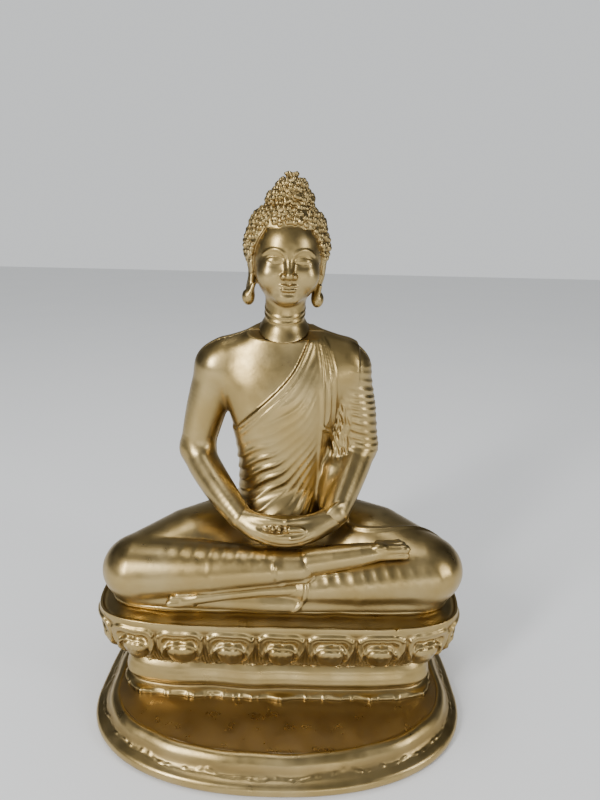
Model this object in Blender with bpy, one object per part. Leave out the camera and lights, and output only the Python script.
"""A seated Buddha statue on a lotus throne and a wide plinth, as an assembly of hollow castings.

Frame: +Z up, the statue faces -Y, and +X is at the viewer's right. The origin is at the middle of
the underside, on the felt. Sizes below are in millimetres, and vec() turns them into metres.
"""

import math

import bmesh
import bpy
from mathutils import Matrix, Vector

MM = 0.001
GAP = 0.3  # between pieces that touch or are glued
WALL = 3.0  # thickness of the castings

# ---- heights of the stack, from the table up ----
FELT_TOP = 1.2
COVER_BOTTOM = FELT_TOP + GAP
COVER_TOP = COVER_BOTTOM + 2.0
PLINTH_BOTTOM = 0.8
PLINTH_TOP = 12.8
WAIST_BOTTOM = PLINTH_TOP + GAP
WAIST_TOP = 28.7
THRONE_BOTTOM = WAIST_TOP + GAP
THRONE_TOP = 58.0
PLATE_BOTTOM = THRONE_TOP + GAP
PLATE_TOP = PLATE_BOTTOM + 2.4
BODY_BOTTOM = PLATE_TOP + GAP
HEAD_JOINT = 181.0  # height of the neck joint on the neck's axis
TOTAL_HEIGHT = 250.0

# ---- plan sizes: half width, middle line, depth in front of it and behind it ----
PLINTH_PLAN = dict(half=88.0, middle=-10.0, front=55.0, back=75.0, front_power=2.25, back_power=3.4)
WAIST_PLAN = dict(half=75.0, middle=10.0, front=33.5, back=44.0, front_power=7.0, back_power=6.0)
THRONE_PLAN = dict(half=85.5, middle=10.0, front=42.5, back=51.0, front_power=4.6, back_power=4.0)
PLATE_PLAN = dict(half=79.0, middle=8.0, front=32.0, back=42.0, front_power=4.2, back_power=3.4)

PETALS = 21
PETAL_STEPS = 5  # outline points in each petal
PETAL_SHIFT = 0.43  # of a petal, so that none is quite in the middle of the front

# ---- fasteners ----
BOLT_X, BOLT_Y = 30.0, 12.0
BOLT_R = 2.5
BOLT_HOLE_R = BOLT_R + 0.4
BOLT_TOP = 68.5
WASHER_R = 6.0
WASHER_THICK = 1.0
HEX_R = 4.6
HEX_THICK = 3.6
COVER_SCREWS = [(-64.0, -26.0), (64.0, -26.0), (-56.0, 42.0), (56.0, 42.0)]
SCREW_R = 1.5
POST_R = 4.2
DOWEL_R = 1.5
DOWEL_LENGTH = 7.0
DOWELS = [(-41.5, 132.0), (41.5, 132.0), (-39.0, 78.0), (39.0, 78.0)]  # x and height on the seam

# ---- the figure ----
SEAM_Y = 20.0  # front and back shells meet on this plane, through the neck's axis
NECK_Y = 20.0
NECK_TILT = math.radians(23)  # the neck joint drops towards the front
SPIGOT_R = 5.5
SPIGOT_BOTTOM = 170.5
HEAD_LEAN = math.radians(1.8)  # to the viewer's right
FINIAL_X, FINIAL_Y = 1.8, 25.5
FINIAL_PEG_R = 1.6
FINIAL_LOW = 241.0
FINIAL_SEAT = 247.4

BRASS = ("cast_brass", (0.62, 0.46, 0.20), 0.32, 1.0)
STEEL = ("zinc_steel", (0.62, 0.63, 0.65), 0.35, 1.0)
FELT = ("green_felt", (0.05, 0.12, 0.07), 0.95, 0.0)
COVER = ("black_cover", (0.03, 0.03, 0.035), 0.55, 0.0)


def vec(x, y, z):
    return Vector((x, y, z)) * MM


# ---------------------------------------------------------------- objects and materials


def material(spec):
    """The Principled material of that name, made once."""
    name, colour, roughness, metallic = spec
    found = bpy.data.materials.get(name)
    if found:
        return found
    made = bpy.data.materials.new(name)
    made.use_nodes = True
    shader = made.node_tree.nodes["Principled BSDF"]
    shader.inputs["Base Color"].default_value = (*colour, 1.0)
    shader.inputs["Roughness"].default_value = roughness
    shader.inputs["Metallic"].default_value = metallic
    return made


def add(name, bm, spec, smooth_below=35):
    """A new object from the bmesh, shaded smooth across edges gentler than smooth_below degrees."""
    bmesh.ops.recalc_face_normals(bm, faces=bm.faces)
    mesh = bpy.data.meshes.new(name)
    bm.to_mesh(mesh)
    bm.free()
    mesh.materials.append(material(spec))
    mesh.shade_smooth()
    mesh.set_sharp_from_angle(angle=math.radians(smooth_below))
    made = bpy.data.objects.new(name, mesh)
    bpy.context.scene.collection.objects.link(made)
    return made


def as_tool(obj):
    """Marks an object as a cutter or a joining shape, which isn't part of the statue."""
    obj.hide_render = True
    obj.display_type = "WIRE"
    return obj


def combine(obj, tool, operation):
    modifier = obj.modifiers.new(operation.lower() + "_" + tool.name, "BOOLEAN")
    modifier.operation = operation
    modifier.solver = "EXACT"
    modifier.object = tool


def bake(obj):
    """Replaces the object's mesh with what its modifiers make of it."""
    graph = bpy.context.evaluated_depsgraph_get()
    mesh = bpy.data.meshes.new_from_object(obj.evaluated_get(graph))
    obj.modifiers.clear()
    obj.data = mesh


# ---------------------------------------------------------------- turned and lofted shapes


def oval(half, middle, front, back, front_power, back_power, count=56, inset=0.0, start=0.0):
    """Evenly spaced points round a superellipse with unlike front and back halves, moved in by inset."""
    fine, total = [], 1440
    for i in range(total):
        turn = 2 * math.pi * i / total
        c, s = math.cos(turn), math.sin(turn)
        power = front_power if s < 0 else back_power
        depth = front if s < 0 else back
        x = half * math.copysign(abs(c) ** (2 / power), c)
        y = middle + depth * math.copysign(abs(s) ** (2 / power), s)
        fine.append(Vector((x, y, 0)))
    lengths = [(fine[(i + 1) % total] - fine[i]).length for i in range(total)]
    step = sum(lengths) / count
    points, gone, i = [], 0.0, 0
    for k in range(count):
        target = (k + start) * step
        while gone + lengths[i % total] < target:
            gone += lengths[i % total]
            i += 1
        share = (target - gone) / lengths[i % total]
        points.append(fine[i % total].lerp(fine[(i + 1) % total], share))
    moved = []
    for k, point in enumerate(points):
        along = (points[(k + 1) % count] - points[k - 1]).normalized()
        moved.append(point + Vector((-along.y, along.x, 0)) * inset)
    return moved


def ring(points, z):
    return [vec(p.x, p.y, z) for p in points]


def loft(name, rings, spec, smooth_below=35):
    """A closed solid through rings of equal count, capped at the first and the last."""
    bm = bmesh.new()
    loops = [[bm.verts.new(p) for p in each] for each in rings]
    for low, high in zip(loops, loops[1:]):
        for i in range(len(low)):
            j = (i + 1) % len(low)
            bm.faces.new((low[i], low[j], high[j], high[i]))
    bm.faces.new(loops[0][::-1])
    bm.faces.new(loops[-1])
    return add(name, bm, spec, smooth_below)


def plan_loft(name, plan, steps, spec, count=56):
    """A loft through insets of one plan: steps are (inset, height) pairs."""
    return loft(name, [ring(oval(**plan, count=count, inset=i), z) for i, z in steps], spec)


def rod(name, x, y, steps, spec, sides=12, along="Z"):
    """A turned piece: steps are (radius, position) pairs along Z, or along Y from x and height y."""
    rings = []
    for radius, at in steps:
        turns = [2 * math.pi * (i + 0.5) / sides for i in range(sides)]
        if along == "Z":
            rings.append([vec(x + radius * math.cos(t), y + radius * math.sin(t), at) for t in turns])
        else:
            rings.append([vec(x + radius * math.cos(t), at, y + radius * math.sin(t)) for t in turns])
    return loft(name, rings, spec)


# ---------------------------------------------------------------- plinth, waist and throne


def make_felt_pad():
    steps = [(5.0, 0.0), (5.0, FELT_TOP)]
    plan_loft("felt_pad", PLINTH_PLAN, steps, FELT, count=48)


def make_bottom_cover():
    steps = [(4.2, COVER_BOTTOM), (4.2, COVER_TOP)]
    cover = plan_loft("bottom_cover", PLINTH_PLAN, steps, COVER, count=48)
    for i, (x, y) in enumerate(COVER_SCREWS):
        hole = rod(f"cut_cover_{i}", x, y, [(SCREW_R + GAP, -1), (SCREW_R + GAP, 8)], STEEL)
        combine(cover, as_tool(hole), "DIFFERENCE")
        recess = rod(f"cut_sink_{i}", x, y, [(3.4, -1), (3.4, COVER_BOTTOM + 1.3)], STEEL)
        combine(cover, as_tool(recess), "DIFFERENCE")


def make_cover_screws():
    """Countersunk screws that hold the cover to the plinth's posts. The felt hides their heads."""
    head, foot = COVER_BOTTOM + 0.1, COVER_BOTTOM + 1.0
    for i, (x, y) in enumerate(COVER_SCREWS):
        steps = [(2.9, head), (2.9, foot), (SCREW_R, foot), (SCREW_R, 9.6), (0.6, 10.4)]
        rod(f"cover_screw_{i + 1}", x, y, steps, STEEL)


def make_plinth():
    """The wide foot: a lower step, a cove up to a flat shelf, and a hollow underside."""
    under = [(10.5, PLINTH_TOP - WALL), (7.0, 6.4), (3.6, 4.6), (3.6, PLINTH_BOTTOM)]
    outside = [(0.8, PLINTH_BOTTOM), (0.0, 1.8), (0.0, 4.2), (0.7, 5.6), (2.2, 6.6), (4.4, 7.2)]
    cove = [(5.6, 8.0), (6.4, 9.4), (7.2, 11.0), (8.6, 12.3), (10.2, PLINTH_TOP)]
    plinth = plan_loft("plinth", PLINTH_PLAN, under + outside + cove, BRASS)
    for i, (x, y) in enumerate(COVER_SCREWS):
        steps = [(POST_R, COVER_TOP + GAP), (POST_R, PLINTH_TOP - 1)]
        combine(plinth, as_tool(rod(f"join_post_{i}", x, y, steps, BRASS)), "UNION")
    for i, (x, y) in enumerate(COVER_SCREWS):
        steps = [(SCREW_R + GAP, 0), (SCREW_R + GAP, 10.8)]
        combine(plinth, as_tool(rod(f"cut_post_{i}", x, y, steps, STEEL)), "DIFFERENCE")
    bolt_holes(plinth)


def bolt_holes(obj):
    """Cuts the two holes that the tie bolts pass through."""
    for side in (-1, 1):
        tool = bpy.data.objects.get(f"cut_bolt_{side}")
        if tool is None:
            steps = [(BOLT_HOLE_R, 2.0), (BOLT_HOLE_R, BOLT_TOP + 3)]
            tool = as_tool(rod(f"cut_bolt_{side}", side * BOLT_X, BOLT_Y, steps, STEEL))
        combine(obj, tool, "DIFFERENCE")


def make_waist_moulding():
    """The collar between plinth and throne: a broad bead over a narrow one."""
    inside = [(5.0, WAIST_TOP), (5.0, WAIST_BOTTOM)]
    low_bead = [(0.9, WAIST_BOTTOM), (0.2, 14.4), (0.9, 15.8), (2.3, 16.7)]
    broad_bead = [(1.4, 17.8), (0.3, 20.0), (0.2, 23.2), (1.2, 26.2), (3.0, 28.2), (4.0, WAIST_TOP)]
    rings = inside + low_bead + broad_bead + inside[:1]
    bm = bmesh.new()
    loops = [
        [bm.verts.new(p) for p in ring(oval(**WAIST_PLAN, inset=i), z)] for i, z in rings[:-1]
    ]
    loops.append(loops[0])
    for low, high in zip(loops, loops[1:]):
        for i in range(len(low)):
            j = (i + 1) % len(low)
            bm.faces.new((low[i], low[j], high[j], high[i]))
    add("waist_moulding", bm, BRASS)


def petal_relief(share, height):
    """How far the lotus band stands out: share is the place across a petal, height runs 0 to 1."""
    across = math.sin(math.pi * share) ** 0.6
    upright = math.sin(math.pi * min(1.0, height / 0.85)) ** 0.8 if 0 < height < 0.85 else 0.0
    return 2.6 * across * upright


def make_lotus_throne():
    """The petal band with its flat ledge on top, hollow and open below."""
    count = PETALS * PETAL_STEPS
    inside = [(6.5, THRONE_TOP - WALL), (6.5, 47.0), (15.0, THRONE_BOTTOM)]
    outside = [(11.4, THRONE_BOTTOM), (10.6, 30.4), (6.6, 35.5), (3.9, 41.0), (2.2, 47.0), (1.2, 52.0)]
    ledge = [(0.2, 54.6), (0.2, 57.0), (1.2, THRONE_TOP)]
    rings = []
    for inset, z in inside + outside + ledge:
        outline = oval(**THRONE_PLAN, count=count, inset=inset, start=PETAL_SHIFT * PETAL_STEPS)
        if (inset, z) in outside:
            proud = oval(**THRONE_PLAN, count=count, inset=inset - 1, start=PETAL_SHIFT * PETAL_STEPS)
            relief = [petal_relief(k % PETAL_STEPS / PETAL_STEPS, (z - 29) / 26) for k in range(count)]
            outline = [a + (b - a) * r for a, b, r in zip(outline, proud, relief)]
        rings.append(ring(outline, z))
    bolt_holes(loft("lotus_throne", rings, BRASS))


def make_figure_base_plate():
    """The thin plate that closes the hollow figure; its rolled edge shows under the legs."""
    low, high = PLATE_BOTTOM, PLATE_TOP
    steps = [(0.9, low), (0.1, low + 0.7), (0.1, high - 0.7), (0.9, high)]
    bolt_holes(plan_loft("figure_base_plate", PLATE_PLAN, steps, BRASS))


def make_tie_bolts():
    """Two bolts clamp plinth, waist, throne and figure: head and washer below, nut in the figure."""
    under = PLINTH_TOP - WALL - GAP
    head_top = under - WASHER_THICK - GAP
    nut_low = PLATE_TOP + GAP
    for side, word in ((-1, "left"), (1, "right")):
        x = side * BOLT_X
        head = [(HEX_R, head_top - HEX_THICK), (HEX_R, head_top)]
        shank = [(BOLT_R, head_top), (BOLT_R, BOLT_TOP - 1), (BOLT_R - 0.7, BOLT_TOP)]
        rod(f"tie_bolt_{word}", x, BOLT_Y, head + shank, STEEL)
        washer = rod(
            f"tie_washer_{word}", x, BOLT_Y, [(WASHER_R, under - WASHER_THICK), (WASHER_R, under)], STEEL
        )
        nut = rod(f"tie_nut_{word}", x, BOLT_Y, [(HEX_R, nut_low), (HEX_R, nut_low + HEX_THICK)], STEEL, 6)
        for piece in (washer, nut):
            combine(piece, bpy.data.objects[f"cut_bolt_{side}"], "DIFFERENCE")


# ---------------------------------------------------------------- the figure


def ball(x, y, z, rx, ry=None, rz=None):
    """The points of an ellipsoid, as a dictionary that hull() takes."""
    return dict(centre=(x, y, z), radii=(rx, ry or rx, rz or rx))


def hull(bm, balls):
    """Adds the convex hull of the balls to bm as one closed body."""
    one = bmesh.new()
    for each in balls:
        place = Matrix.Translation(vec(*each["centre"])) @ Matrix.Diagonal((*vec(*each["radii"]), 1))
        bmesh.ops.create_uvsphere(one, u_segments=20, v_segments=12, radius=1, matrix=place)
    made = bmesh.ops.convex_hull(one, input=one.verts)
    loose = [v for v in made["geom_interior"] + made["geom_unused"] if isinstance(v, bmesh.types.BMVert)]
    bmesh.ops.delete(one, geom=list(set(loose)), context="VERTS")
    mesh = bpy.data.meshes.new("hull")
    one.to_mesh(mesh)
    one.free()
    bm.from_mesh(mesh)
    bpy.data.meshes.remove(mesh)


def blended(name, groups, voxel, smooth, triangles, spec):
    """One smooth closed body from hulls of balls: fused by voxels, smoothed, and thinned out."""
    bm = bmesh.new()
    for balls in groups:
        hull(bm, balls)
    obj = add(name, bm, spec)
    fuse = obj.modifiers.new("fuse", "REMESH")
    fuse.mode = "VOXEL"
    fuse.voxel_size = voxel * MM
    relax = obj.modifiers.new("relax", "SMOOTH")
    relax.factor = 0.5
    relax.iterations = smooth
    bake(obj)
    thin = obj.modifiers.new("thin", "DECIMATE")
    thin.ratio = triangles / (2 * len(obj.data.polygons))
    bake(obj)
    obj.data.shade_smooth()
    return obj


def both_sides(*groups):
    """The groups and their mirror images in x."""
    mirrored = [
        [dict(centre=(-b["centre"][0], *b["centre"][1:]), radii=b["radii"]) for b in group]
        for group in groups
    ]
    return [*groups, *mirrored]


def torso_groups():
    return [
        [ball(0, 23, 80, 33, 23, 19), ball(0, 20, 103, 21, 18, 18)],
        [ball(0, 20, 103, 21.5, 18, 18), ball(0, 21, 152, 28.5, 18, 17)],
        [ball(0, 21, 154, 29, 18, 16), ball(-30, 22.5, 163, 11.2), ball(28.5, 22.5, 163, 11.2)],
        [ball(0, 22, 176, 12, 11, 9), ball(-23, 22.5, 166.5, 9.8), ball(21.5, 22.5, 166.5, 9.8)],
        [ball(0, NECK_Y, 172, 11.8), ball(0, NECK_Y, 184, 11.8)],
        [ball(0, 12, 74, 50, 30, 15)],
    ]


def arm_groups():
    """Both arms and the hands in the lap, upper arm first; the figure's right arm comes first."""
    return [
        [ball(-31.5, 22.5, 162.5, 11.2), ball(-42.8, 22, 121, 8.3)],
        [ball(-43, 21, 119.5, 8.1), ball(-18, -9, 98, 5.8)],
        [ball(29.5, 22.5, 162.5, 11.2), ball(37.5, 22, 124, 8.6)],
        [ball(37.5, 21, 122, 8.5), ball(25, -8, 101, 6)],
        [ball(s * 16 + 4, -11, 97.5, 5.6, 6.5, 5.6) for s in (-1, 1)]
        + [ball(s * 9 + 4, -17, 93, 5, 6, 4.6) for s in (-1, 1)],
    ]


def leg_groups():
    """Half lotus: the figure's right foot lies on the left shin, and its left foot lies in front."""
    return [
        [ball(-20, 24, 77, 19, 20, 18), ball(-66, -9, 73, 16.5, 17, 13.5)],
        [ball(20, 24, 79, 19, 20, 18), ball(68, -9, 75, 17, 17, 15)],
        [ball(-65, -10, 73, 16.5, 16.5, 13.5), ball(3, -17, 80, 9)],
        [ball(3, -17, 81, 7.5), ball(28, -18, 88, 6, 6.5, 4.5), ball(50, -18, 91.5, 5, 6, 3.2)],
        [ball(66, -10, 75, 17, 16.5, 15), ball(6, -18, 69, 8.2)],
        [ball(6, -19, 67, 6.5), ball(-30, -22, 66, 5.4), ball(-46, -23, 65.4, 4.4)],
    ]


def robe_groups():
    """The robe fills the space between the covered arm and the body."""
    return [
        [ball(33, 20, 152, 8), ball(24, 18, 108, 7), ball(34, 19, 124, 7)],
        [ball(24, 14, 106, 6), ball(26, 2, 98, 5)],
    ]


def make_body():
    """The figure below the neck: two hollow shells that meet on the seam plane."""
    groups = torso_groups() + arm_groups() + leg_groups() + robe_groups()
    body = blended("body", groups, 1.8, 5, 4200, BRASS)
    hollow_groups = [
        [ball(0, 22, 62, 28, 18, 20), ball(0, 20, 104, 16, 13, 16)],
        [ball(0, 20, 104, 16, 13, 16), ball(0, 21, 150, 21, 13, 14)],
        [ball(0, 4, 64, 40, 17, 17)],
        *both_sides([ball(20, 10, 65, 11), ball(62, -8, 65, 11)]),
        *both_sides([ball(BOLT_X, BOLT_Y, 63, 9, 9, 12)]),
    ]
    hollow = as_tool(blended("hollow", hollow_groups, 2.4, 4, 800, BRASS))

    below = box("cut_below_body", (-120, -120, 0), (120, 120, BODY_BOTTOM))
    above = box("cut_above_body", (-60, -40, 0), (60, 60, 60))
    tilt_to_neck(above, -GAP / 2)
    socket_steps = [(SPIGOT_R + GAP, SPIGOT_BOTTOM - 8), (SPIGOT_R + GAP, 200)]
    socket = rod("cut_socket", 0, NECK_Y, socket_steps, STEEL)
    for tool in (below, above, hollow, as_tool(socket)):
        combine(body, tool, "DIFFERENCE")
    bake(body)

    keep_back = box("keep_back", (-120, SEAM_Y + GAP / 2, 50), (120, 120, 200))
    keep_front = box("keep_front", (-120, -120, 50), (120, SEAM_Y - GAP / 2, 200))
    for name, keep in (("body_front_shell", keep_front), ("body_back_shell", keep_back)):
        shell = bpy.data.objects.new(name, body.data.copy())
        bpy.context.scene.collection.objects.link(shell)
        combine(shell, keep, "INTERSECT")
        for i, (x, z) in enumerate(DOWELS):
            steps = [(DOWEL_R + GAP, SEAM_Y + s * (DOWEL_LENGTH / 2 + GAP)) for s in (-1, 1)]
            tool = bpy.data.objects.get(f"cut_dowel_{i}") or as_tool(
                rod(f"cut_dowel_{i}", x, z, steps, STEEL, along="Y")
            )
            combine(shell, tool, "DIFFERENCE")
    bpy.data.objects.remove(body)


def make_seam_dowels():
    """Pins across the seam that line the two shells up."""
    for i, (x, z) in enumerate(DOWELS):
        steps = [(DOWEL_R, SEAM_Y + s * DOWEL_LENGTH / 2) for s in (-1, 1)]
        rod(f"seam_dowel_{i + 1}", x, z, steps, STEEL, along="Y")


def box(name, low, high):
    """A box between two corners, as a tool."""
    bm = bmesh.new()
    bmesh.ops.create_cube(bm, size=1)
    for v in bm.verts:
        v.co = vec(*(low[k] if v.co[k] < 0 else high[k] for k in range(3)))
    return as_tool(add(name, bm, STEEL))


def tilt_to_neck(tool, lift):
    """Moves a tool modelled at the origin to the neck joint's tilted plane."""
    tool.location = vec(0, NECK_Y, HEAD_JOINT + lift)
    tool.rotation_euler = (NECK_TILT, 0, 0)


def make_head():
    """Neck, face, long-lobed ears, curled cap and crown bump in one casting, with a spigot below."""
    groups = [
        [ball(0, 21, 212, 15, 15.5, 14), ball(0, 16, 203, 11.5, 10, 9.5)],
        [ball(0, 15, 206, 12, 9.5, 10), ball(0, 12.5, 198, 7.5, 7, 6)],
        [ball(0, 25.5, 220, 19, 19, 14.5), ball(0, 25.5, 231.5, 16.2, 16.2, 6)],
        [ball(0, 25.5, 236, 12.2, 12.2, 6), ball(0, 25.5, 243, 6.8, 6.8, 4.4)],
        [ball(0, NECK_Y, 180, 9.6), ball(0, 20.5, 200, 9.2)],
        [ball(0, NECK_Y, 181, 11.6, 11.6, 7)],
        *both_sides([ball(17.2, 23.5, 213, 2.6, 4.4, 5), ball(14.6, 21.5, 196, 2.8, 3.6, 4.6)]),
    ]
    head = blended("head", groups, 1.0, 3, 1900, BRASS)
    pivot = Matrix.Translation(vec(0, NECK_Y, 185))
    head.data.transform(pivot @ Matrix.Rotation(HEAD_LEAN, 4, "Y") @ pivot.inverted())
    below = box("cut_below_head", (-60, -60, -60), (60, 60, 0))
    tilt_to_neck(below, GAP / 2)
    combine(head, below, "DIFFERENCE")
    spigot = rod("join_spigot", 0, NECK_Y, [(SPIGOT_R, SPIGOT_BOTTOM), (SPIGOT_R, 192)], BRASS)
    combine(head, as_tool(spigot), "UNION")
    bore = rod("cut_head_bore", 0, NECK_Y, [(3.4, SPIGOT_BOTTOM - 2), (3.4, 206), (1.0, 212)], BRASS)
    combine(head, as_tool(bore), "DIFFERENCE")
    cavity = as_tool(blended("cut_cavity", [[ball(0, 21.5, 213, 11.5, 12.5, 13)]], 1.6, 2, 300, BRASS))
    combine(head, cavity, "DIFFERENCE")
    peg_hole = [(FINIAL_PEG_R + GAP, FINIAL_LOW - GAP), (FINIAL_PEG_R + GAP, 260)]
    combine(head, as_tool(rod("cut_peg", FINIAL_X, FINIAL_Y, peg_hole, BRASS)), "DIFFERENCE")


def make_crown_finial():
    """The small flat-topped stub on the crown, pegged into the head."""
    peg = [(FINIAL_PEG_R, FINIAL_LOW), (FINIAL_PEG_R, FINIAL_SEAT)]
    stub = [(2.7, FINIAL_SEAT), (2.4, 248.4), (2.9, 249.2), (2.8, TOTAL_HEIGHT)]
    rod("crown_finial", FINIAL_X, FINIAL_Y, peg + stub, BRASS)


def main():
    for obj in list(bpy.data.objects):
        bpy.data.objects.remove(obj)
    make_felt_pad()
    make_bottom_cover()
    make_cover_screws()
    make_plinth()
    make_waist_moulding()
    make_lotus_throne()
    make_figure_base_plate()
    make_tie_bolts()
    make_body()
    make_seam_dowels()
    make_head()
    make_crown_finial()


main()
